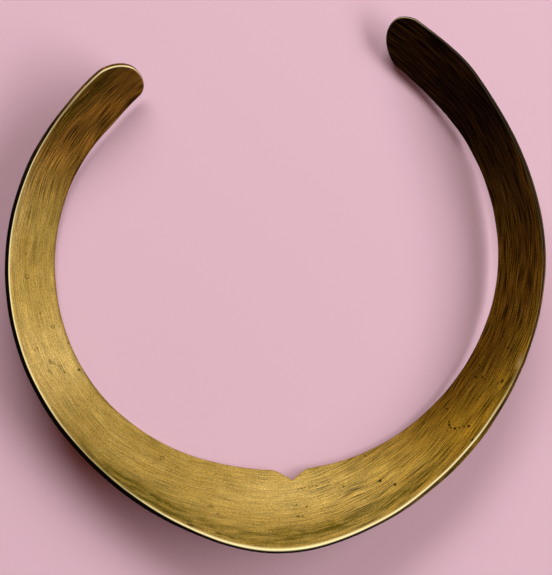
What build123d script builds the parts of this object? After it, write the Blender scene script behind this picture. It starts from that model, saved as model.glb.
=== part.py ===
from build123d import *
import os
from math import cos, radians, sin

# A rigid brass neck collar: one open band of sheet brass, raised like the wall of a shallow dish.
# It lies on its neck edge. The wide front is at -Y, and the opening between the two arms is at +Y.
# Millimetres and degrees. Angles run round the neck from the middle of the front, positive towards +X.

SHEET_THICKNESS = 1.5
EDGE_ROUNDING = 0.45          # how far the rounded edges stand out past their corners
DISH_DEPTH_RATIO = 0.03       # hollow of the visible face, as a share of the band's width

ARM_WIDTH = 13.5              # width that the arms settle to
FRONT_EXTRA_WIDTH = 10.6      # how much wider the middle of the front is
FRONT_SPREAD_ANGLE = 33.0     # angle at which half of the extra width is gone

# The hand-bent neck line: angle round the neck, radius of the neck edge, gap under the neck edge,
# and how steeply the band rises from its neck edge to its rim. The collar stands on three places:
# its left side, the right of its front, and the neck side of its right tip.
STATIONS = [
    (-150.0, 59.8, 2.2, 50.0),
    (-135.0, 59.4, 1.6, 44.0),
    (-120.0, 60.1, 0.9, 40.0),
    (-105.0, 60.9, 0.3, 38.5),
    (-90.0, 61.2, 0.0, 37.0),
    (-60.0, 60.9, 0.0, 37.0),
    (-30.0, 58.7, 0.1, 34.0),
    (-12.0, 57.4, 0.1, 32.5),
    (10.0, 57.5, 0.0, 32.5),
    (30.0, 58.0, 0.0, 33.0),
    (45.0, 58.4, 0.3, 34.0),
    (60.0, 59.2, 0.9, 36.0),
    (90.0, 61.2, 1.9, 41.0),
    (110.0, 61.8, 1.7, 44.0),
    (125.0, 62.1, 1.2, 40.0),
    (140.0, 62.7, 0.4, 27.0),
    (160.0, 65.4, 0.8, 20.0),
]

LEFT_TIP_BASE_ANGLE = -139.3  # where the rounding of the end starts
LEFT_TIP_LENGTH = 5.3         # length of the rounded end along the arm
LEFT_TIP_LEAN = 14.0          # turn of the rounded end in the plane of the band
RIGHT_TIP_BASE_ANGLE = 147.1
RIGHT_TIP_LENGTH = 8.9
RIGHT_TIP_LEAN = -24.0
TIP_SIDE_MARGIN = 0.4         # the rounded end is this much wider than the band on each side

NOTCH_ANGLE = 4.3             # the notch sits just beside the middle of the front
NOTCH_HALF_WIDTH = 5.2
NOTCH_DEPTH = 3.0
NOTCH_OVERSHOOT = 0.12        # the neck edge curves away by this much at the notch's shoulders
NOTCH_FLANK_ANGLE = 36.0      # how steeply each side runs into the point of the V

CUTTER_REACH = 20.0           # the tip cutters reach this far, well past the ends of the band
NOTCH_CUTTER_REACH = 3.0      # the notch cutter starts this far inside the neck edge


def band_width(angle):
    """Width of the band across its visible face, widest at the middle of the front."""
    return ARM_WIDTH + FRONT_EXTRA_WIDTH / (1 + (angle / FRONT_SPREAD_ANGLE) ** 2)


def neck_line(angle):
    """Radius, gap and slope at any angle, in straight steps from station to station."""
    for low, high in zip(STATIONS, STATIONS[1:]):
        if low[0] <= angle <= high[0]:
            share = (angle - low[0]) / (high[0] - low[0])
            return [start + share * (end - start) for start, end in zip(low[1:], high[1:])]
    raise ValueError("the angle is past the end of an arm")


def section_frame(angle, radius, gap, slope):
    """Upper side of the neck edge, and the directions across the band and out of its visible face."""
    outward = Vector(sin(radians(angle)), -cos(radians(angle)), 0)
    across = outward * cos(radians(slope)) + Vector(0, 0, sin(radians(slope)))
    normal = outward * -sin(radians(slope)) + Vector(0, 0, cos(radians(slope)))
    height = gap + SHEET_THICKNESS * cos(radians(slope)) - EDGE_ROUNDING * sin(radians(slope))
    corner = outward * radius + Vector(0, 0, height)
    return corner, across, normal


def band_section(angle, radius, gap, slope):
    """Closed outline of the sheet in the upright plane at this angle: four shallow arcs."""
    corner, across, normal = section_frame(angle, radius, gap, slope)
    width = band_width(angle)
    hollow = normal * -(DISH_DEPTH_RATIO * width)
    through = normal * -SHEET_THICKNESS
    neck_top = corner + across * EDGE_ROUNDING
    rim_top = corner + across * (width - EDGE_ROUNDING)
    middle = corner + across * (width / 2) + hollow
    neck_out = corner + through * 0.5
    rim_out = corner + across * width + through * 0.5
    return Wire([
        ThreePointArc(neck_top, middle, rim_top).edge(),
        ThreePointArc(rim_top, rim_out, rim_top + through).edge(),
        ThreePointArc(rim_top + through, middle + through, neck_top + through).edge(),
        ThreePointArc(neck_top + through, neck_out, neck_top).edge(),
    ])


def raw_band():
    """The whole band, still square at both ends."""
    return Solid.make_loft([band_section(*station) for station in STATIONS])


def tip_cutter(base_angle, length, lean, side):
    """What is cut away round a semi-elliptical end. side is +1 on the right arm, -1 on the left."""
    corner, across, normal = section_frame(base_angle, *neck_line(base_angle))
    half_width = band_width(base_angle) / 2
    along = normal.cross(across) * side
    plane = Plane(origin=corner + across * half_width, x_dir=along, z_dir=normal)
    blank = Pos(CUTTER_REACH / 2, 0) * Rectangle(CUTTER_REACH, 2 * CUTTER_REACH)
    ellipse = Rot(0, 0, lean) * Ellipse(length, half_width + TIP_SIDE_MARGIN)
    return extrude(plane * (blank - ellipse), amount=CUTTER_REACH / 2, both=True)


def notch_cutter():
    """Two round shoulders that meet in a V, cut through the neck edge."""
    corner, across, normal = section_frame(NOTCH_ANGLE, *neck_line(NOTCH_ANGLE))
    plane = Plane(origin=corner, x_dir=across, z_dir=normal)
    high = -NOTCH_OVERSHOOT
    steep = Vector(sin(radians(NOTCH_FLANK_ANGLE)), cos(radians(NOTCH_FLANK_ANGLE)))
    left = Spline((high, -NOTCH_HALF_WIDTH), (NOTCH_DEPTH, 0), tangents=[(0, 1), steep])
    right = mirror(left, Plane.XZ)
    clear = -NOTCH_CUTTER_REACH
    back = Polyline(left @ 0, (clear, -NOTCH_HALF_WIDTH), (clear, NOTCH_HALF_WIDTH), right @ 0)
    outline = make_face([*left.edges(), *right.edges(), *back.edges()])
    return extrude(plane * outline, amount=NOTCH_CUTTER_REACH, both=True)


def collar_band():
    band = raw_band()
    band = band - tip_cutter(LEFT_TIP_BASE_ANGLE, LEFT_TIP_LENGTH, LEFT_TIP_LEAN, -1)
    band = band - tip_cutter(RIGHT_TIP_BASE_ANGLE, RIGHT_TIP_LENGTH, RIGHT_TIP_LEAN, 1)
    band = band - notch_cutter()
    return band


def stand_on_origin(band):
    """Put the origin under the middle of the collar, at the height of what it lies on."""
    box = band.bounding_box()
    return Pos(-box.center().X, -box.center().Y, -box.min.Z) * band


def main():
    os.makedirs("parts", exist_ok=True)
    band = stand_on_origin(collar_band())
    print("volume", band.volume, "box", band.bounding_box().size)
    export_step(band, "parts/collar_band.step")


main()
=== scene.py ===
"""Looks of the rigid brass neck collar: one open band of sheet brass that lies on its neck edge.

The band is described in the collar's own terms: an angle round the neck, in degrees from the middle
of the front, and a distance across the visible face, in millimetres from the neck edge. The mesh is
then placed on the CAD solid that it stands for, in metres.
"""

import bpy
import numpy as np
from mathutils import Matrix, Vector


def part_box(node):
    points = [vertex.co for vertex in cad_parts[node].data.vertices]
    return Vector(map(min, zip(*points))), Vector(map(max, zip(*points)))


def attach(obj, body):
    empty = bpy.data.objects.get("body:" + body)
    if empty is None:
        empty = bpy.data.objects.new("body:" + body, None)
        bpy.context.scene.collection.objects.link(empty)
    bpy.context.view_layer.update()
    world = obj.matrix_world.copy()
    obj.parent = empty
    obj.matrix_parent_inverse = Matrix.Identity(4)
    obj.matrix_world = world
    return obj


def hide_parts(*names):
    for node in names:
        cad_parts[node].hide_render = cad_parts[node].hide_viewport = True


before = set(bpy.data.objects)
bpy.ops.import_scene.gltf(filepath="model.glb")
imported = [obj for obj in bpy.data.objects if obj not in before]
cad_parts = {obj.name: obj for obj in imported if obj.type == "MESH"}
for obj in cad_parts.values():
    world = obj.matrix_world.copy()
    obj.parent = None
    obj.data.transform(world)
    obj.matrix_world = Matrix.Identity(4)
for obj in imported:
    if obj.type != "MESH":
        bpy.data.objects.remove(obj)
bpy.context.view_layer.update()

MM = 0.001
SHEET_THICKNESS = 1.5
DISH_DEPTH_RATIO = 0.03       # hollow of the visible face, as a share of the band's width
EDGE_ROUNDING = 0.45          # how far the CAD solid's rounded edges stand out past their corners
ARM_WIDTH = 13.5              # width that the arms settle to
FRONT_EXTRA_WIDTH = 10.6      # how much wider the middle of the front is
FRONT_SPREAD_ANGLE = 33.0     # angle at which half of the extra width is gone
MEAN_RADIUS = 70.0            # turns an angle round the neck into millimetres along the band

# Angle, radius of the neck edge, gap under it and slope of the band, as the CAD solid has them.
STATIONS = np.array([
    (-150.0, 59.8, 2.2, 50.0),
    (-135.0, 59.4, 1.6, 44.0),
    (-120.0, 60.1, 0.9, 40.0),
    (-105.0, 60.9, 0.3, 38.5),
    (-90.0, 61.2, 0.0, 37.0),
    (-60.0, 60.9, 0.0, 37.0),
    (-30.0, 58.7, 0.1, 34.0),
    (-12.0, 57.4, 0.1, 32.5),
    (10.0, 57.5, 0.0, 32.5),
    (30.0, 58.0, 0.0, 33.0),
    (45.0, 58.4, 0.3, 34.0),
    (60.0, 59.2, 0.9, 36.0),
    (90.0, 61.2, 1.9, 41.0),
    (110.0, 61.8, 1.7, 44.0),
    (125.0, 62.1, 1.2, 40.0),
    (140.0, 62.7, 0.4, 27.0),
    (160.0, 65.4, 0.8, 20.0),
])
RADIUS, GAP, SLOPE = 1, 2, 3  # columns of STATIONS

# The rounded ends: the angle where each one starts, its length, its turn in the plane of the band,
# how much its two corners are cut, and half of the band's width there as seen from above.
LEFT_TIP = {"base": -139.3, "length": 5.5, "lean": 14.0, "rim_corner": 6.0, "neck_corner": 1.0,
            "half_plan_width": 5.5}
RIGHT_TIP = {"base": 147.1, "length": 9.6, "lean": 24.0, "rim_corner": 3.0, "neck_corner": 0.8,
             "half_plan_width": 6.3}
TIP_SIDE_MARGIN = 0.4         # an end's ellipse is this much wider than the band on each side
TIP_INSET = 0.45              # how far inside an end's outline the visible face stops
TIP_CORNER_CUT = 0.6          # what a corner takes off an end, as a share of its radius

NOTCH_ANGLE = 4.3
NOTCH_LEFT_WIDTH = 5.6        # the left shoulder is longer and straighter than the right one
NOTCH_RIGHT_WIDTH = 4.6
NOTCH_DEPTH = 3.0
NOTCH_POINT_RADIUS = 0.35     # how sharp the point of the V is on the visible face
NOTCH_LINE_OFFSET = 1.5       # its width is measured this far outside the neck edge
NOTCH_FLANK_POWER = 1.45      # 1 would make straight flanks, and more curves them
NOTCH_SHOULDER_EASE = 0.25    # share of the depth that is left out at the very start of a shoulder
NOTCH_SHOULDER_SHARE = 0.12   # share of the notch's half width over which that fades out

NECK_ARRIS = 0.32             # radius of the rounded upper edge along the neck
RIM_ARRIS = 0.40              # the same along the rim, before its changes from place to place
LOWER_ARRIS = 0.14            # radius of the nearly square edge round the underside
RIM_TRIM = 0.42               # the face stops this short at the rim, as the lower edge stands out more
FLARE_START = 0.9             # the lower edge flares only past this share, where the rim's share is 1
# Where the hand-cut edges stand out from their even line: angle, spread in degrees, millimetres.
RIM_SWELLS = [(2.0, 18.0, 0.42), (26.0, 7.0, 0.4), (42.0, 14.0, 0.35), (-136.0, 9.0, 0.85),
              (137.0, 8.0, 0.7), (-38.0, 26.0, -0.45), (-88.0, 22.0, -0.15)]
NECK_SWELLS = [(-132.0, 9.0, 0.5)]

PLANISHING_SEED = 11
PLANISHING_WAVES = 26
PLANISHING_LENGTHS = (9.0, 34.0)      # shortest and longest wave
PLANISHING_HEIGHT_RATIO = 0.0011      # height of a wave, as a share of its length
# Small knocks near the rim: angle, distance from the rim, length, width, depth.
KNOCKS = [(67.8, 1.3, 1.6, 1.0, 0.16), (-22.0, 2.0, 2.5, 1.2, 0.10), (38.0, 1.6, 2.0, 1.0, 0.08),
          (-101.0, 1.2, 2.2, 0.9, 0.08), (12.0, 2.4, 3.0, 1.4, 0.08)]

COLUMNS = 900                 # quads along the band
ROWS = 40                     # quads across it
ARRIS_STEPS = 5               # quads round the upper rounded edge
LOWER_ARRIS_STEPS = 3         # quads round the lower one
RING_COUNT = ARRIS_STEPS + LOWER_ARRIS_STEPS + 1
RING_SPACING = 0.35           # millimetres from ring to ring round the edge, for the textures


# ---------------------------------------------------------------------------------------- shape

def smooth_step(value, start, end):
    """0 before start, 1 after end, and an S-shaped curve between them."""
    part = np.clip((value - start) / (end - start), 0, 1)
    return part * part * (3 - 2 * part)


def peak(value, centre, spread):
    """A smooth rise of height 1 round one angle or place."""
    return np.exp(-((value - centre) / spread) ** 2)


def smooth_line(angle, column):
    """A station column at any angle, on a smooth curve through the stations."""
    angles = STATIONS[:, 0]
    values = STATIONS[:, column]
    slopes = np.gradient(values, angles)
    low = np.clip(np.searchsorted(angles, angle) - 1, 0, len(angles) - 2)
    span = angles[low + 1] - angles[low]
    part = (angle - angles[low]) / span
    rise = (1 + 2 * part) * (1 - part) ** 2 * values[low] + part ** 2 * (3 - 2 * part) * values[low + 1]
    bend = part * (1 - part) ** 2 * slopes[low] - part ** 2 * (1 - part) * slopes[low + 1]
    return rise + span * bend


def band_width(angle):
    """Width of the band across its visible face, widest at the middle of the front."""
    return ARM_WIDTH + FRONT_EXTRA_WIDTH / (1 + (angle / FRONT_SPREAD_ANGLE) ** 2)


def directions(angle):
    """Level and away from the neck, across the band from neck to rim, and out of its visible face."""
    turn = np.radians(angle)[..., None]
    slope = np.radians(smooth_line(angle, SLOPE))[..., None]
    outward = np.sin(turn) * np.array([1.0, 0, 0]) - np.cos(turn) * np.array([0, 1.0, 0])
    up = np.array([0, 0, 1.0])
    across = outward * np.cos(slope) + up * np.sin(slope)
    normal = up * np.cos(slope) - outward * np.sin(slope)
    return outward, across, normal


def hill(angle, across, centre_angle, centre_across, length, width):
    """A smooth round hill of height 1, length mm long along the band and width mm across it."""
    x = np.radians(angle - centre_angle) * MEAN_RADIUS / length
    y = (across - centre_across) / width
    return np.exp(-(x ** 2 + y ** 2))


def planishing(angle, across):
    """Slow hills and hollows that hand work leaves in the sheet, in millimetres."""
    rng = np.random.default_rng(PLANISHING_SEED)
    along = np.radians(angle) * MEAN_RADIUS
    height = np.zeros_like(along)
    for wave in range(PLANISHING_WAVES):
        length = rng.uniform(*PLANISHING_LENGTHS)
        turn = rng.uniform(0, np.pi)
        phase = rng.uniform(0, 2 * np.pi)
        run = along * np.cos(turn) + across * np.sin(turn)
        height += PLANISHING_HEIGHT_RATIO * length * np.sin(2 * np.pi * run / length + phase)
    return height


def dents(angle, across):
    """Depth of the small knocks near the rim, in millimetres."""
    width = band_width(angle)
    total = np.zeros_like(width)
    for centre, from_rim, length, reach, depth in KNOCKS:
        total += depth * hill(angle, across, centre, width - from_rim, length, reach)
    return total


def notch_depth(angle):
    """How far the notch's two round shoulders and V take the neck edge back, in millimetres."""
    away = np.radians(angle - NOTCH_ANGLE) * (smooth_line(angle, RADIUS) + NOTCH_LINE_OFFSET)
    reach = np.where(away < 0, NOTCH_LEFT_WIDTH, NOTCH_RIGHT_WIDTH)
    away = np.sqrt(away ** 2 + NOTCH_POINT_RADIUS ** 2) - NOTCH_POINT_RADIUS
    part = np.clip(1 - away / reach, 0, 1)
    ease = 1 - NOTCH_SHOULDER_EASE * peak(part, 0, NOTCH_SHOULDER_SHARE)
    return NOTCH_DEPTH * part ** NOTCH_FLANK_POWER * ease


def swell(angle, swells):
    """How far an edge stands out from its even line, in millimetres."""
    total = np.zeros_like(angle)
    for centre, spread, height in swells:
        total += height * peak(angle, centre, spread)
    return total


def rim_arris(angle):
    """The rim's upper edge is rounded most across the front, and is nearly sharp on the right arm."""
    front = 0.26 * peak(angle, 4.0, 18.0)
    lower_left = 0.10 * peak(angle, -38.0, 12.0)
    left = 0.18 * smooth_step(-angle, 50, 70) * (1 - smooth_step(-angle, 116, 130))
    return RIM_ARRIS + front - lower_left - left - 0.22 * smooth_step(angle, 52, 80)


def edge_flare(angle):
    """How much further out the rim's lower edge stands than its upper one, in millimetres."""
    left = smooth_step(-angle, 8, 34) * (1 - smooth_step(-angle, 112, 130))
    return 0.6 * peak(angle, 44.0, 15.0) + 0.42 * left + 0.2 * peak(angle, -38.0, 28.0)


def tip_reach(tip, share, inset):
    """Length of a rounded end beyond its base, from share -1 at the neck edge to 1 at the rim.

    Its outline is half an ellipse, turned a little: a x^2 + 2 b x y + c y^2 = 1, with x along the
    band and y across it. The two corners are then cut.
    """
    half = band_width(np.array(tip["base"])) / 2 - inset
    y = share * half
    lean = np.radians(tip["lean"])
    long_part = 1 / (tip["length"] - inset) ** 2
    wide_part = 1 / (half + TIP_SIDE_MARGIN) ** 2
    a = np.cos(lean) ** 2 * long_part + np.sin(lean) ** 2 * wide_part
    b = np.cos(lean) * np.sin(lean) * (long_part - wide_part)
    c = np.sin(lean) ** 2 * long_part + np.cos(lean) ** 2 * wide_part
    reach = (-b * y + np.sqrt(np.maximum((b * y) ** 2 - a * (c * y ** 2 - 1), 0))) / a
    return reach - corner_drop(half - y, tip["rim_corner"]) - corner_drop(half + y, tip["neck_corner"])


def corner_drop(from_side, radius):
    """How much a round corner takes off the end, at a distance from the band's side."""
    part = np.clip(1 - from_side / radius, 0, 1)
    return TIP_CORNER_CUT * radius * (1 - np.sqrt(1 - part ** 2))


def tip_angle(tip, share, side):
    """Angle at which the visible face ends. side is +1 on the right arm and -1 on the left."""
    plan_radius = smooth_line(np.array(tip["base"]), RADIUS) + tip["half_plan_width"] * (1 + share)
    return tip["base"] + side * np.degrees(tip_reach(tip, share, TIP_INSET) / plan_radius)


def column_places():
    """Share of the way from the left tip to the right one, closer together at the tips and the notch."""
    steps = np.linspace(0, 1, 4001)
    notch = (NOTCH_ANGLE - LEFT_TIP["base"]) / (RIGHT_TIP["base"] - LEFT_TIP["base"])
    density = 1 + 1.6 * peak(steps, notch, 0.016)
    density += 1.2 * (peak(steps, 0, 0.012) + peak(steps, 1, 0.012))
    total = np.concatenate([[0], np.cumsum((density[1:] + density[:-1]) / 2)])
    return np.interp(np.linspace(0, 1, COLUMNS + 1), total / total[-1], steps)


def face_grid():
    """Every vertex of the visible face, inside the rounded edges.

    Its angle, its distance across, and its share of the way: -1 at the neck edge, 1 at the rim.
    """
    place = column_places()[:, None]
    even = np.linspace(-1, 1, ROWS + 1)[None, :]
    near_tip = peak(place, 0, 0.03) + peak(place, 1, 0.03)
    share = even + near_tip * (np.sin(np.pi / 2 * even) - even)
    left = tip_angle(LEFT_TIP, share, -1)
    right = tip_angle(RIGHT_TIP, share, 1)
    angle = left + place * (right - left)
    low = NECK_ARRIS + notch_depth(angle) - swell(angle, NECK_SWELLS)
    high = band_width(angle) + swell(angle, RIM_SWELLS) - RIM_TRIM - rim_arris(angle)
    across = low + (share + 1) / 2 * (high - low)
    return angle, across, share


def face_points(angle, across):
    """Points of the visible face round the neck's own centre, and the directions out of it."""
    outward, over, normal = directions(angle)
    slope = np.radians(smooth_line(angle, SLOPE))
    height = smooth_line(angle, GAP) + SHEET_THICKNESS * np.cos(slope) - EDGE_ROUNDING * np.sin(slope)
    width = band_width(angle)
    part = across / width
    hollow = DISH_DEPTH_RATIO * width * 4 * part * (1 - part)
    sink = hollow - planishing(angle, across) + dents(angle, across)
    points = outward * smooth_line(angle, RADIUS)[..., None] + over * across[..., None]
    points = points - normal * sink[..., None]
    points[..., 2] += height
    return points, normal


def outline_indices():
    """The face grid's outer vertices in order: neck edge, right end, rim, left end."""
    neck = [(i, 0) for i in range(COLUMNS + 1)]
    right = [(COLUMNS, j) for j in range(1, ROWS + 1)]
    rim = [(i, ROWS) for i in range(COLUMNS - 1, -1, -1)]
    left = [(0, j) for j in range(ROWS - 1, 0, -1)]
    return np.array(neck + right + rim + left)


def edge_radius(angle, share):
    """Radius of the upper rounded edge at a vertex of the outline, blended round the tips."""
    rimward = np.clip((share + 1) / 2, 0, 1)
    return NECK_ARRIS + rimward * (rim_arris(angle) - NECK_ARRIS)


def edge_rings(points, normals, radius, flare):
    """Rings of vertices round the sheet's edge, from the visible face to the underside."""
    tangent = np.roll(points, -1, axis=0) - np.roll(points, 1, axis=0)
    tangent /= np.linalg.norm(tangent, axis=1)[:, None]
    out = np.cross(normals, tangent)
    out /= np.linalg.norm(out, axis=1)[:, None]
    radius = radius[:, None]
    flare = flare[:, None]
    rings = []
    for step in range(1, ARRIS_STEPS + 1):
        turn = np.pi / 2 * step / ARRIS_STEPS
        rings.append(points + out * radius * np.sin(turn) - normals * radius * (1 - np.cos(turn)))
    lower_centre = points + out * (radius + flare - LOWER_ARRIS)
    lower_centre = lower_centre - normals * (SHEET_THICKNESS - LOWER_ARRIS)
    for step in range(LOWER_ARRIS_STEPS + 1):
        turn = np.pi / 2 * step / LOWER_ARRIS_STEPS
        rings.append(lower_centre + (out * np.cos(turn) - normals * np.sin(turn)) * LOWER_ARRIS)
    return rings


def grid_faces(index, flip):
    """Quads between neighbouring vertices of a grid, turned over if flip is set."""
    a = index[:-1, :-1].ravel()
    b = index[1:, :-1].ravel()
    c = index[1:, 1:].ravel()
    d = index[:-1, 1:].ravel()
    quads = [a, d, c, b] if flip else [a, b, c, d]
    return np.stack(quads, axis=1)


def band_faces(grid):
    """Quads of the visible face, the underside and the rings round the edge between them."""
    count = grid.angle.size
    ring_size = len(grid.outline[0])
    top_index = np.arange(count).reshape(grid.angle.shape)
    under_index = np.empty(grid.angle.shape, int)
    under_index[grid.outline] = count + (RING_COUNT - 1) * ring_size + np.arange(ring_size)
    under_index[grid.inner] = count + RING_COUNT * ring_size + np.arange(grid.inner.sum())
    faces = [grid_faces(top_index, False), grid_faces(under_index, True)]
    here = top_index[grid.outline]
    for ring in range(RING_COUNT):
        below = count + ring * ring_size + np.arange(ring_size)
        faces.append(np.stack([here, below, np.roll(below, -1), np.roll(here, -1)], axis=1))
        here = below
    return np.concatenate(faces)


class BandGrid:
    """The grid of the visible face, and which of its vertices are on its outline or inside it."""

    def __init__(self):
        self.angle, self.across, self.share = face_grid()
        outline = outline_indices()
        self.outline = (outline[:, 0], outline[:, 1])
        self.inner = np.ones(self.angle.shape, bool)
        self.inner[self.outline] = False


def build_collar():
    """Mesh of the whole band in metres round the neck's centre, with its material attributes."""
    grid = BandGrid()
    at = grid.outline
    top, normal = face_points(grid.angle, grid.across)
    radius = edge_radius(grid.angle[at], grid.share[at])
    flare = edge_flare(grid.angle[at]) * (grid.share[at] > FLARE_START)
    rings = edge_rings(top[at], normal[at], radius, flare)
    under = (top - normal * SHEET_THICKNESS)[grid.inner]
    vertices = np.concatenate([top.reshape(-1, 3)] + rings + [under]) * MM
    mesh = bpy.data.meshes.new("brass_collar")
    mesh.from_pydata(vertices.tolist(), [], band_faces(grid).tolist())
    mesh.validate()
    mesh.shade_smooth()
    write_lay(mesh, grid)
    write_edge_shade(mesh, grid)
    write_wear_and_highlight(mesh, grid)
    write_zones(mesh, grid)
    write_band_uv(mesh)
    return mesh


# --------------------------------------------------------------------- state of the brass, by place

# One number for each ring of vertices round the edge, from the visible face to the underside: how black it
# is painted as painted shade, how much of that painted shade is left off on the right arm, where the edge
# faces the light, and how bright it is painted with polish and painted highlight.
RING_BLACK = np.array([0, 0, 0.35, 0.95, 1, 1, 1, 1, 1])[:, None]
RING_LIT_RIGHT = np.array([0, 0, 0, 0, 0, 0.7, 0.7, 0.4, 0])[:, None]
RING_WEAR_AND_HIGHLIGHT = np.array([1.0, 1.0, 0.7, 0.2, 0, 0, 0, 0, 0])[:, None]
# The next two rows: painted highlight on the right arm's edge, where it faces the light, and polish with
# painted highlight on the right tip's rim.
RING_HIGHLIGHT_RIGHT = np.array([0.1, 0.1, 0, 0, 0, 0.15, 0.15, 0, 0])[:, None]
RING_WEAR_AND_HIGHLIGHT_TIP = np.array([0.5, 0.6, 0.5, 0.2, 0, 0, 0, 0, 0])[:, None]
UV_SPAN = 400                 # millimetres of the band that a UV unit stands for

# Olive patches: angle, distance from the rim, length, width, strength.
OLIVE_PATCHES = [
    (-34.0, 2.6, 15.0, 2.8, 0.62), (-22.0, 4.4, 12.0, 3.6, 0.4), (-47.0, 1.2, 14.0, 1.4, 0.4),
    (2.0, 5.4, 15.0, 2.2, 0.5), (17.0, 4.6, 13.0, 2.0, 0.5), (31.0, 3.4, 10.0, 1.4, 0.6),
    (40.0, 5.5, 7.0, 2.0, 0.3), (-4.0, 2.6, 20.0, 2.0, 0.35), (60.0, 2.0, 9.0, 1.8, 0.3),
    (-138.0, 2.8, 11.0, 2.6, 0.9), (-126.0, 2.2, 14.0, 1.8, 0.7),
]


def edge_shade_along(angle):
    """How black the sheet's edge face is painted as painted shade: browner right of the front, and bare at
    the left tip.
    """
    brown_right = 0.45 * smooth_step(angle, 14, 34) * (1 - smooth_step(angle, 56, 74))
    return (1 - brown_right) / (1 + np.exp((-124 - angle) / 4.0))


def rim_polish_and_highlight(angle):
    """How bright the rim's upper edge is painted: polish from handling and a painted highlight, dimmed at
    the lower left and near the left tip, and gone up the right arm.
    """
    lower_left = 0.72 * peak(angle, -42.0, 16.0)
    near_left_tip = 0.55 * peak(angle, -127.0, 9.0)
    return (1 - lower_left - near_left_tip) * (1 - smooth_step(angle, 46, 72))


def brush_slant(angle):
    """Millimetres that the brush lines have drifted across the band: they lean to the neck on the right."""
    steps = np.linspace(-170, 170, 681)
    lean = 0.15 * smooth_step(steps, -6, 12) * (1 - smooth_step(steps, 40, 66))
    drift = np.cumsum(lean) * np.radians(0.5) * MEAN_RADIUS
    return np.interp(angle, steps, drift)


def brushed_zones(angle):
    """How deep the brush lines are: shallow left of the front, deep up the right arm and at both tips."""
    right = smooth_step(angle, 2, 22) * (1 - 0.4 * smooth_step(angle, 90, 130))
    dark_arm = 0.6 * smooth_step(angle, 60, 90)
    return 0.5 + 0.55 * right + dark_arm + 1.0 * smooth_step(-angle, 92, 126)


def olive_zones(angle, across):
    """Where the visible face has gone dull and olive, from 0 to 1."""
    width = band_width(angle)
    zone = np.zeros_like(angle)
    for centre, from_rim, length, reach, strength in OLIVE_PATCHES:
        zone += strength * hill(angle, across, centre, width - from_rim, length, reach)
    return np.clip(zone, 0, 1)


def clean_zones(angle, across):
    """Where the brass is cleaner and brighter, from 0 to 1: left of the front, and round the notch."""
    left = 0.45 * peak(angle, -67.0, 10.0)
    middle = 0.4 * hill(angle, across, 2.0, 7.0, 20.0, 7.0)
    rim = 0.45 * hill(angle, across, -99.0, band_width(angle) - 1.6, 16.0, 1.5)
    return np.clip(left + middle + rim, 0, 1)


def ochre_zones(angle, across):
    """Where the brass has turned a warmer yellow, from 0 to 1: across the front and up the right arm."""
    return np.clip(0.9 * smooth_step(angle, 18, 52) + 0.16 * peak(angle, 0, 30.0), 0, 0.95)


def rust_zones(angle, across):
    """Where the brass has turned reddish, from 0 to 1: along the end of the left arm."""
    return 0.8 * smooth_step(-angle, 98, 122)


def brown_and_shade_zones(angle, across):
    """How brown the brass is, from 0 to 1: along the right arm, where it is brown patina deepened with
    painted shade, and near the left tip.
    """
    width = band_width(angle)
    from_middle = 0.5 - across / width
    right = smooth_step(angle + 50 * from_middle, 27, 82)
    left = 0.55 * smooth_step(-angle + 16 * from_middle, 100, 142)
    on_left = smooth_step(-angle, 30, 60)
    neck_line = 0.55 * peak(across, 0.4, 0.35) * on_left
    rim_line = 0.22 * peak(across, width - 2.0, 0.35) * on_left
    return np.clip(right + left + neck_line + rim_line, 0, 1)


def black_and_shade_zones(angle, across):
    """Where the brown is taken nearly black, from 0 to 1: towards the right tip, black patina and painted
    shade.
    """
    width = band_width(angle)
    near_rim = peak(across, width - 1.8, 1.1) * (1 - smooth_step(angle, 108, 122))
    return smooth_step(angle - 6 * (0.5 - across / width), 73, 128) * (1 - 0.6 * near_rim)


def write_vector(mesh, name, parts):
    layer = mesh.attributes.new(name, "FLOAT_VECTOR", "POINT")
    values = np.concatenate([np.stack(part, axis=1) for part in parts])
    layer.data.foreach_set("vector", values.astype(np.float32).ravel())


def write_float(mesh, name, parts):
    layer = mesh.attributes.new(name, "FLOAT", "POINT")
    layer.data.foreach_set("value", np.concatenate(parts).astype(np.float32))


def write_lay(mesh, grid):
    """Millimetres along and across the band, and a third number from 0 on top to 1 underneath."""
    at = grid.outline
    along = np.radians(grid.angle) * MEAN_RADIUS
    out = np.sign(grid.share[at])
    ring_across = [grid.across[at] + RING_SPACING * (ring + 1) * out for ring in range(RING_COUNT)]
    ring_depth = np.repeat(np.linspace(0.1, 1, RING_COUNT), len(at[0]))
    write_vector(mesh, "lay", [
        (along.ravel(), grid.across.ravel(), np.zeros(grid.angle.size)),
        (np.tile(along[at], RING_COUNT), np.concatenate(ring_across), ring_depth),
        (along[grid.inner], grid.across[grid.inner], np.ones(grid.inner.sum())),
    ])


def write_edge_shade(mesh, grid):
    """How black the sheet's edge face is painted as painted shade: all along the rim, less on the right arm
    where the edge faces the light, and not at all along the neck edge.
    """
    angle = grid.angle[grid.outline]
    black_and_shade = edge_shade_along(angle) * smooth_step(grid.share[grid.outline], -0.7, 0.1)
    faces_light = smooth_step(angle, 58, 76) * RING_LIT_RIGHT
    ring_edge_shade = RING_BLACK * black_and_shade * (1 - faces_light)
    write_float(mesh, "edge_shade", [np.zeros(grid.angle.size), ring_edge_shade.ravel(), np.zeros(grid.inner.sum())])


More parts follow.
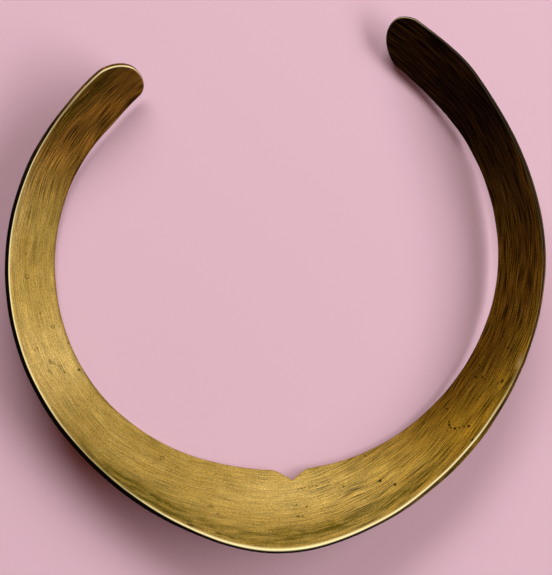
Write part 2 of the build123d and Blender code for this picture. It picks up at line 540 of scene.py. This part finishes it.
def write_wear_and_highlight(mesh, grid):
    """How bright the upper edge is painted with polish and painted highlight, with a bright fleck on the
    rim of the right arm that is a worn chip and a painted glint.
    """
    angle = grid.angle[grid.outline]
    share = grid.share[grid.outline]
    rimward = smooth_step(share, -1.0, 0.2)
    shine = rimward * rim_polish_and_highlight(angle)
    right_shine = rimward * smooth_step(angle, 58, 76)
    tip_shine = smooth_step(share, 0.1, 0.8) * smooth_step(angle, 143, 154)
    ring_wear_and_highlight = RING_WEAR_AND_HIGHLIGHT * shine + RING_HIGHLIGHT_RIGHT * right_shine
    ring_wear_and_highlight = np.clip(ring_wear_and_highlight + RING_WEAR_AND_HIGHLIGHT_TIP * tip_shine, 0, 1)
    face_wear_and_highlight = np.zeros(grid.angle.shape)
    face_wear_and_highlight[grid.outline] = 0.55 * shine
    face_wear_and_highlight += 0.38 * hill(grid.angle, grid.across, 67.8, band_width(grid.angle) - 1.1, 1.7, 0.6)
    write_float(mesh, "wear_and_highlight", [face_wear_and_highlight.ravel(), ring_wear_and_highlight.ravel(), np.zeros(grid.inner.sum())])


def write_zones(mesh, grid):
    """Every state of the brass, with the painted shade in the brown and black, with its level underneath,
    and the lean and depth of the brush lines.
    """
    zones = [("clean", clean_zones, 0.0), ("olive", olive_zones, 0.3), ("ochre", ochre_zones, 0.5),
             ("rust", rust_zones, 0.0), ("brown_and_shade", brown_and_shade_zones, 0.6), ("black_and_shade", black_and_shade_zones, 0.0)]
    for name, zone, beneath in zones:
        field = zone(grid.angle, grid.across)
        ring_field = np.tile(field[grid.outline], RING_COUNT)
        write_float(mesh, name, [field.ravel(), ring_field, np.full(grid.inner.sum(), beneath)])
    for name, field in (("slant", brush_slant(grid.angle)), ("brushed", brushed_zones(grid.angle))):
        ring_field = np.tile(field[grid.outline], RING_COUNT)
        write_float(mesh, name, [field.ravel(), ring_field, field[grid.inner]])


def write_band_uv(mesh):
    """A UV map with u along the band and v across it, for the direction of the brushing."""
    layer = mesh.uv_layers.new(name="band")
    lay = np.zeros(len(mesh.vertices) * 3, np.float32)
    mesh.attributes["lay"].data.foreach_get("vector", lay)
    lay = lay.reshape(-1, 3)
    corner = np.zeros(len(mesh.loops), np.int32)
    mesh.loops.foreach_get("vertex_index", corner)
    u = lay[corner, 0] / UV_SPAN + 0.5
    v = lay[corner, 1] / UV_SPAN + 0.5 * lay[corner, 2]
    uv = np.stack([u, v], axis=1)
    layer.data.foreach_set("uv", uv.astype(np.float32).ravel())


def place_on_cad(mesh):
    """Moves the mesh so that it stands where its CAD solid does, and returns the neck's centre."""
    low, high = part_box("collar_band")
    points = np.zeros(len(mesh.vertices) * 3, np.float32)
    mesh.vertices.foreach_get("co", points)
    points = points.reshape(-1, 3)
    middle = (points.min(0) + points.max(0)) / 2
    target = (np.array(low) + np.array(high)) / 2
    shift = target - middle
    shift[2] = low[2] - points[:, 2].min()
    mesh.vertices.foreach_set("co", (points + shift).astype(np.float32).ravel())
    mesh.update()
    return Vector(shift)


# ------------------------------------------------------------------------------------- material

class Graph:
    """Short ways to add shader nodes and link them."""

    def __init__(self, tree):
        self.tree = tree
        tree.nodes.clear()

    def add(self, kind, inputs=None, **settings):
        node = self.tree.nodes.new(kind)
        for name, value in settings.items():
            setattr(node, name, value)
        for name, value in (inputs or {}).items():
            self.feed(node.inputs[name], value)
        return node

    def feed(self, socket, value):
        """Links a socket to another node's, or sets its own value."""
        if isinstance(value, bpy.types.NodeSocket):
            self.tree.links.new(value, socket)
        else:
            socket.default_value = value

    def math(self, operation, first, second=0.0, clamp=False):
        node = self.add("ShaderNodeMath", {0: first, 1: second}, operation=operation)
        node.use_clamp = clamp
        return node.outputs[0]

    def total(self, first, *others):
        """The sum of several values."""
        for other in others:
            first = self.math("ADD", first, other)
        return first

    def product(self, first, second):
        """The product of two values, kept from 0 to 1."""
        return self.math("MULTIPLY", first, second, clamp=True)

    def vector(self, operation, first, second=(0, 0, 0), output="Vector"):
        node = self.add("ShaderNodeVectorMath", {0: first, 1: second}, operation=operation)
        return node.outputs[output]

    def stretch(self, vector, x, y, z=1.0):
        return self.vector("MULTIPLY", vector, (x, y, z))

    def scale(self, vector, factor):
        node = self.add("ShaderNodeVectorMath", {0: vector, "Scale": factor}, operation="SCALE")
        return node.outputs[0]

    def attribute(self, name, output="Fac"):
        return self.add("ShaderNodeAttribute", attribute_name=name).outputs[output]

    def noise(self, vector, detail, roughness=0.5):
        inputs = {"Vector": vector, "Scale": 1.0, "Detail": detail, "Roughness": roughness}
        return self.add("ShaderNodeTexNoise", inputs).outputs[0]

    def level(self, value, low, high, to_low=0.0, to_high=1.0):
        """Goes straight from to_low to to_high as value goes from low to high, and stays there."""
        inputs = {"Value": value, "From Min": low, "From Max": high, "To Min": to_low, "To Max": to_high}
        return self.add("ShaderNodeMapRange", inputs).outputs[0]

    def mix(self, share, first, second):
        """The first colour where share is 0, and the second where it is 1."""
        node = self.add("ShaderNodeMix", data_type="RGBA")
        self.feed(node.inputs["Factor"], share)
        self.feed(node.inputs[6], first)
        self.feed(node.inputs[7], second)
        return node.outputs[2]


CLEAN_BRASS = (0.70, 0.52, 0.19, 1)
BRIGHT_BRASS = (0.50, 0.348, 0.092, 1)
DULL_BRASS = (0.215, 0.128, 0.013, 1)
OLIVE = (0.110, 0.078, 0.007, 1)
OCHRE = (0.37, 0.205, 0.014, 1)
RUST = (0.28, 0.125, 0.016, 1)
# Brown patina, which on the right arm also stands in for painted shade.
BROWN_AND_SHADE = (0.108, 0.044, 0.004, 1)
# Near black: black patina and painted shade towards the right tip.
BLACKENED_AND_SHADE = (0.008, 0.0026, 0.0016, 1)
STAIN = (0.022, 0.010, 0.003, 1)
# Painted shade on the sheet's edge face: near black where the edge faces away from the lights.
EDGE_SHADE = (0.004, 0.003, 0.002, 1)
# Polished brass, which on the upper edge also stands in for a painted highlight.
POLISH_AND_HIGHLIGHT = (0.90, 0.78, 0.42, 1)

BRIGHTEST = -0.4              # range of the dullness that the textures make
DULLEST = 1.5
DARKEST_BRUSH_LINE = 0.15     # no brush line takes more of the colour away than this leaves
RELIEF_DEPTH = 0.000012       # metres that the brush lines and pits are deep

# Pits and stains that are part of this collar: angle, distance across, length, width, strength.
MARKS = [
    (5.6, 5.9, 0.35, 0.18, 0.5), (6.5, 5.8, 0.40, 0.20, 0.7), (7.4, 5.6, 0.30, 0.18, 0.6),
    (8.4, 5.7, 0.35, 0.18, 0.6), (9.3, 5.5, 0.45, 0.20, 0.7), (10.3, 5.6, 0.40, 0.22, 0.7),
    (13.5, 5.2, 0.35, 0.18, 0.6), (16.8, 7.5, 0.35, 0.30, 0.7), (25.5, 9.7, 0.62, 0.42, 1.0),
    (28.2, 12.6, 0.55, 0.38, 0.9), (4.8, 10.5, 0.30, 0.24, 0.7), (7.2, 11.3, 0.36, 0.28, 0.7),
    (5.0, 13.8, 0.50, 0.24, 0.8), (6.0, 13.9, 0.30, 0.20, 0.7), (24.8, 1.2, 0.40, 0.24, 0.7),
    (49.5, 4.0, 0.32, 0.32, 1.0), (47.4, 7.1, 0.30, 0.35, 0.9), (46.9, 7.7, 0.35, 0.45, 1.0),
    (46.6, 8.6, 0.35, 0.35, 0.9), (45.6, 8.6, 0.25, 0.25, 0.7), (47.2, 9.7, 0.40, 0.40, 1.0),
    (48.0, 10.4, 0.20, 0.50, 0.8), (48.9, 11.2, 0.20, 0.55, 0.8), (49.7, 12.2, 0.45, 0.45, 1.0),
    (47.9, 16.0, 0.50, 0.42, 1.0), (62.3, 12.3, 0.75, 0.42, 0.9), (61.4, 11.4, 0.50, 0.30, 0.6),
    (61.0, 6.4, 0.40, 0.40, 0.7), (60.3, 4.8, 0.35, 0.50, 0.8), (60.8, 7.6, 0.35, 0.35, 0.7),
    (63.2, 3.8, 0.40, 0.35, 0.7), (69.8, 9.3, 0.45, 0.35, 0.7), (-66.3, 7.8, 0.85, 0.5, 0.5),
    (-65.6, 7.2, 0.50, 0.4, 0.45), (-64.3, 5.7, 1.2, 0.7, 0.25), (-64.5, 9.4, 0.35, 0.4, 0.5),
    (-63.9, 9.0, 0.30, 0.3, 0.4), (-62.7, 5.4, 0.40, 0.3, 0.7), (-61.5, 1.3, 0.50, 0.4, 0.8),
    (-68.8, 0.7, 0.45, 0.3, 0.5), (-70.0, 10.8, 0.35, 0.35, 0.5), (-70.3, 9.9, 0.45, 0.35, 0.45),
    (-73.7, 1.5, 0.40, 0.35, 0.25), (-78.0, 6.0, 0.40, 0.25, 0.5), (-92.0, 8.8, 0.40, 0.25, 0.5),
    (-15.0, 13.0, 1.1, 0.5, 0.35), (-13.0, 14.8, 0.6, 0.3, 0.5), (-9.0, 21.0, 0.9, 0.3, 0.6),
    (-12.0, 20.4, 0.8, 0.3, 0.6), (-18.0, 20.0, 0.9, 0.4, 0.6),
]
# Ring-shaped water stains: angle, distance across, radius.
RINGS = [(-86.8, 8.6, 0.55), (-74.0, 3.4, 0.45), (-30.3, 4.2, 0.55)]


def away_from(graph, lay, angle, across):
    """How far each place of the band is from one of them, in millimetres along and across."""
    return graph.vector("SUBTRACT", lay, (np.radians(angle) * MEAN_RADIUS, across, 0))


def mark_mask(graph, lay):
    """Each pit's and stain's strength in its middle, and 0 outside them all."""
    ragged = graph.noise(graph.stretch(lay, 2.6, 2.6), 1.0)
    total = 0.0
    for angle, across, length, width, strength in MARKS:
        away = graph.stretch(away_from(graph, lay, angle, across), 1 / length, 1 / width, 0)
        distance = graph.vector("LENGTH", away, output="Value")
        spot = graph.level(graph.math("ADD", distance, ragged), 1.75, 0.95, 0.0, strength)
        total = graph.math("MAXIMUM", total, spot)
    return total


def ring_mask(graph, lay):
    """1 on the line of each ring-shaped water stain, and 0 away from it."""
    total = 0.0
    for angle, across, radius in RINGS:
        distance = graph.vector("LENGTH", away_from(graph, lay, angle, across), output="Value")
        off = graph.math("ABSOLUTE", graph.math("SUBTRACT", distance, radius))
        total = graph.math("MAXIMUM", total, graph.level(off, 0.3, 0.05))
    return total


def brass_textures(graph, lay):
    """Every texture of the brass. The brushed ones are long and thin, and drift a little across it."""
    warp = graph.noise(graph.stretch(lay, 0.05, 0.08, 5), 1.0)
    drift = graph.math("ADD", graph.math("MULTIPLY", warp, 3.0), graph.attribute("slant"))
    drift = graph.add("ShaderNodeCombineXYZ", {"Y": drift}).outputs[0]
    bent = graph.vector("ADD", lay, drift)
    return {
        "lines": graph.noise(graph.stretch(bent, 0.10, 3.2, 7), 3.0, 0.65),
        "hairs": graph.noise(graph.stretch(bent, 0.11, 4.6, 7), 1.0),
        "scores": graph.noise(graph.stretch(bent, 0.07, 5.0, 7), 1.0),
        "streaks": graph.noise(graph.stretch(bent, 0.035, 0.8, 7), 2.0),
        "veil": graph.noise(graph.stretch(bent, 0.16, 0.9, 5), 4.0, 0.65),
        "mottle": graph.noise(graph.stretch(lay, 0.22, 0.26, 3), 3.0, 0.6),
        "clouds": graph.noise(graph.stretch(lay, 0.055, 0.09, 3), 2.0),
        "specks": graph.noise(graph.stretch(lay, 0.9, 2.2, 3), 1.0),
        "flecks": graph.noise(graph.stretch(lay, 0.5, 0.7, 3), 4.0, 0.65),
        "grain": graph.noise(graph.stretch(lay, 1.9, 3.0, 3), 2.0, 0.6),
    }


def brass_dullness(graph, textures):
    """How dull the bare brass is, from BRIGHTEST to DULLEST."""
    dull = graph.total(
        graph.level(textures["clouds"], 0.35, 0.75, 0.1, 0.5),
        graph.level(textures["mottle"], 0.35, 0.65, -0.12, 0.22),
        graph.level(textures["lines"], 0.36, 0.64, -0.38, 0.42),
        graph.level(textures["hairs"], 0.35, 0.7, -0.15, 0.2),
        graph.level(textures["streaks"], 0.35, 0.7, -0.12, 0.25),
        graph.level(textures["grain"], 0.35, 0.65, -0.22, 0.25),
        graph.level(textures["specks"], 0.60, 0.70, 0.0, 0.5),
    )
    return graph.math("MINIMUM", graph.math("MAXIMUM", dull, BRIGHTEST), DULLEST)


def brush_shade(graph, textures):
    """What the brush lines and the grain multiply the colour by."""
    depth = graph.total(
        graph.level(textures["lines"], 0.34, 0.66, -0.36, 0.40),
        graph.level(textures["hairs"], 0.3, 0.7, -0.80, 0.80),
        graph.level(textures["scores"], 0.58, 0.70, 0.0, -0.22),
    )
    brushing = graph.math("MULTIPLY", depth, graph.attribute("brushed"))
    shade = graph.math("MAXIMUM", graph.math("ADD", brushing, 1.0), DARKEST_BRUSH_LINE)
    return graph.math("MULTIPLY", shade, graph.level(textures["grain"], 0.3, 0.7, 0.56, 1.44))


def brass_colour(graph, textures, dull, stained):
    """The bare brass, with each patina laid over the one before, the brown and black with painted shade in
    them, then brushed, stained, worn and given painted highlights, and the edge face its painted shade.
    """
    flecked = graph.level(textures["flecks"], 0.35, 0.65, 0.7, 1.3)
    veiled = graph.level(textures["veil"], 0.36, 0.62, 0.35, 1.6)
    streaked = graph.math("ADD", textures["streaks"], textures["lines"])
    streaked = graph.level(streaked, 0.75, 1.25, 0.8, 1.1)
    rubbed = graph.level(textures["lines"], 0.36, 0.68, 1.06, 0.82)
    patinas = [
        (graph.product(graph.attribute("clean"), flecked), CLEAN_BRASS),
        (graph.attribute("ochre"), OCHRE),
        (graph.attribute("rust"), RUST),
        (graph.product(graph.attribute("olive"), veiled), OLIVE),
        # The brown and black layers carry painted shade on the right arm and towards its tip.
        (graph.product(graph.attribute("brown_and_shade"), streaked), BROWN_AND_SHADE),
        (graph.product(graph.attribute("black_and_shade"), rubbed), BLACKENED_AND_SHADE),
    ]
    colour = graph.mix(graph.level(dull, BRIGHTEST, DULLEST), BRIGHT_BRASS, DULL_BRASS)
    for share, patina in patinas:
        colour = graph.mix(share, colour, patina)
    colour = graph.scale(colour, brush_shade(graph, textures))
    colour = graph.mix(stained, colour, STAIN)
    # Polish and painted highlights along the upper edge.
    colour = graph.mix(graph.attribute("wear_and_highlight"), colour, POLISH_AND_HIGHLIGHT)
    # The sheet's edge face gets its painted shade.
    return graph.mix(graph.attribute("edge_shade"), colour, EDGE_SHADE)


def brass_roughness(graph, textures, dull, stained):
    """Rougher where the brass is dull, stained or painted black with shade on its edge, and smoother where
    it is polished or painted with a highlight.
    """
    rough = graph.total(
        graph.level(dull, 0.0, 1.0, 0.52, 0.62),
        graph.level(textures["hairs"], 0.3, 0.7, -0.04, 0.06),
        graph.math("MULTIPLY", stained, 0.2),
    )
    rough = graph.math("SUBTRACT", rough, graph.math("MULTIPLY", graph.attribute("wear_and_highlight"), 0.22))
    edge_shaded = graph.math("MULTIPLY", graph.attribute("edge_shade"), 0.2)
    return graph.math("ADD", rough, edge_shaded, clamp=True)


def brass_relief(graph, textures, marks):
    """Normals that carry the fine relief of the brush lines, the mottling and the pits."""
    height = graph.total(
        graph.math("MULTIPLY", textures["lines"], 0.9),
        graph.math("MULTIPLY", textures["hairs"], 0.35),
        graph.math("MULTIPLY", textures["mottle"], 0.8),
    )
    height = graph.math("SUBTRACT", height, graph.math("MULTIPLY", marks, 2.5))
    bump = graph.add("ShaderNodeBump", {"Strength": 1.0, "Distance": RELIEF_DEPTH, "Height": height})
    return bump.outputs[0]


def brass_material():
    material = bpy.data.materials.new("aged_brass")
    material.use_nodes = True
    graph = Graph(material.node_tree)
    lay = graph.attribute("lay", "Vector")
    textures = brass_textures(graph, lay)
    marks = mark_mask(graph, lay)
    rings = graph.math("MULTIPLY", ring_mask(graph, lay), 0.4)
    stained = graph.math("MAXIMUM", marks, rings, clamp=True)
    dull = brass_dullness(graph, textures)
    tangent = graph.add("ShaderNodeTangent", direction_type="UV_MAP", uv_map="band")
    shader = graph.add("ShaderNodeBsdfPrincipled", {
        "Base Color": brass_colour(graph, textures, dull, stained),
        "Metallic": 1.0,
        "Roughness": brass_roughness(graph, textures, dull, stained),
        "Anisotropic": 0.3,
        "Anisotropic Rotation": 0.25,
        "Tangent": tangent.outputs[0],
        "Normal": brass_relief(graph, textures, marks),
    })
    output = graph.add("ShaderNodeOutputMaterial")
    graph.feed(output.inputs["Surface"], shader.outputs[0])
    return material


def floor_material():
    material = bpy.data.materials.new("pale_floor")
    material.use_nodes = True
    graph = Graph(material.node_tree)
    shader = graph.add("ShaderNodeBsdfPrincipled", {
        "Base Color": (0.82, 0.55, 0.64, 1),
        "Roughness": 0.9,
        "Specular IOR Level": 0.2,
    })
    output = graph.add("ShaderNodeOutputMaterial")
    graph.feed(output.inputs["Surface"], shader.outputs[0])
    return material


# ---------------------------------------------------------------------------- floor, light, camera

# Metres, degrees and levels of light.
FLOOR_SIZE = 4.0
LIGHT_DISTANCE = 2.2
LAMP_COLOUR = (0.97, 0.985, 1.0)
AMBIENT = 0.12                # what the dim room gives the floor
AMBIENT_COLOUR = (1.0, 0.40, 0.33, 1)
ROOM_LEVEL = 0.20             # how bright the room looks in the metal
ROOM_COLOUR = (1.0, 0.97, 0.93, 1)
BACKDROP_LEVEL = 0.9          # what the camera sees past the floor
BACKDROP_COLOUR = (0.80, 0.60, 0.66, 1)
# Soft glows that the metal reflects: bearing, elevation, sharpness and level.
GLOWS = [(100, 30, 6, 1.45), (60, 75, 3, 1.25), (10, 12, 8, 2.25)]
CAMERA_HEIGHT = 0.4
CAMERA_OFFSET = -6.82 * MM    # from the neck's centre, towards the front of the collar
LENS = 89.98                  # millimetres, as is the sensor's width
SENSOR_WIDTH = 36.0


def make_floor():
    half = FLOOR_SIZE / 2
    mesh = bpy.data.meshes.new("floor")
    corners = [(-half, -half, 0), (half, -half, 0), (half, half, 0), (-half, half, 0)]
    mesh.from_pydata(corners, [], [(0, 1, 2, 3)])
    floor = bpy.data.objects.new("floor", mesh)
    mesh.materials.append(floor_material())
    bpy.context.scene.collection.objects.link(floor)


def heading(bearing, elevation):
    """Unit vector. bearing is degrees round from +X towards +Y, elevation is degrees up."""
    turn = np.radians(bearing)
    rise = np.radians(elevation)
    return Vector((np.cos(turn) * np.cos(rise), np.sin(turn) * np.cos(rise), np.sin(rise)))


def soft_light(name, bearing, elevation, size, brightness):
    """An area light that looks at the collar. brightness is its irradiance there, in W/m2."""
    light = bpy.data.lights.new(name, "AREA")
    light.shape = "RECTANGLE"
    light.size = size[0]
    light.size_y = size[1]
    light.energy = brightness * np.pi * LIGHT_DISTANCE ** 2
    light.color = LAMP_COLOUR
    lamp = bpy.data.objects.new(name, light)
    away = heading(bearing, elevation)
    lamp.location = away * LIGHT_DISTANCE
    lamp.rotation_euler = away.to_track_quat("Z", "Y").to_euler()
    lamp.visible_glossy = False
    lamp.visible_camera = False
    bpy.context.scene.collection.objects.link(lamp)


def make_world():
    """A dim room, which the metal sees with soft glows in it and the camera sees as a pale backdrop."""
    world = bpy.data.worlds.new("studio")
    bpy.context.scene.world = world
    world.use_nodes = True
    graph = Graph(world.node_tree)
    way = graph.add("ShaderNodeTexCoord").outputs["Generated"]
    strength = ROOM_LEVEL
    for bearing, elevation, sharpness, level in GLOWS:
        facing = graph.vector("DOT_PRODUCT", way, tuple(heading(bearing, elevation)), "Value")
        lobe = graph.math("POWER", graph.math("MAXIMUM", facing, 0.0), sharpness)
        strength = graph.math("ADD", strength, graph.math("MULTIPLY", lobe, level))
    reflected = background(graph, ROOM_COLOUR, strength)
    ambient = background(graph, AMBIENT_COLOUR, AMBIENT)
    backdrop = background(graph, BACKDROP_COLOUR, BACKDROP_LEVEL)
    path = graph.add("ShaderNodeLightPath").outputs
    lit = graph.add("ShaderNodeMixShader", {0: path["Is Glossy Ray"], 1: ambient, 2: reflected})
    seen = graph.add("ShaderNodeMixShader", {0: path["Is Camera Ray"], 1: lit.outputs[0], 2: backdrop})
    output = graph.add("ShaderNodeOutputWorld")
    graph.feed(output.inputs["Surface"], seen.outputs[0])


def background(graph, colour, strength):
    return graph.add("ShaderNodeBackground", {"Color": colour, "Strength": strength}).outputs[0]


def make_camera(neck_centre):
    """Straight above the collar, with the opening at the top of the picture."""
    camera = bpy.data.cameras.new("camera")
    camera.lens = LENS
    camera.sensor_width = SENSOR_WIDTH
    holder = bpy.data.objects.new("camera", camera)
    holder.location = (neck_centre.x, neck_centre.y + CAMERA_OFFSET, CAMERA_HEIGHT)
    bpy.context.scene.collection.objects.link(holder)
    bpy.context.scene.camera = holder


def make_collar():
    """The finished collar, in place of its CAD solid. Returns the neck's centre."""
    mesh = build_collar()
    neck_centre = place_on_cad(mesh)
    collar = bpy.data.objects.new("brass_collar", mesh)
    mesh.materials.append(brass_material())
    bpy.context.scene.collection.objects.link(collar)
    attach(collar, "root")
    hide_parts("collar_band")
    return neck_centre


neck = make_collar()
make_floor()
soft_light("right", 4, 28, (2.9, 0.65), 3.9)
soft_light("far", 96, 29, (1.6, 0.65), 2.55)
make_world()
make_camera(neck)
bpy.context.scene.view_settings.view_transform = "Standard"
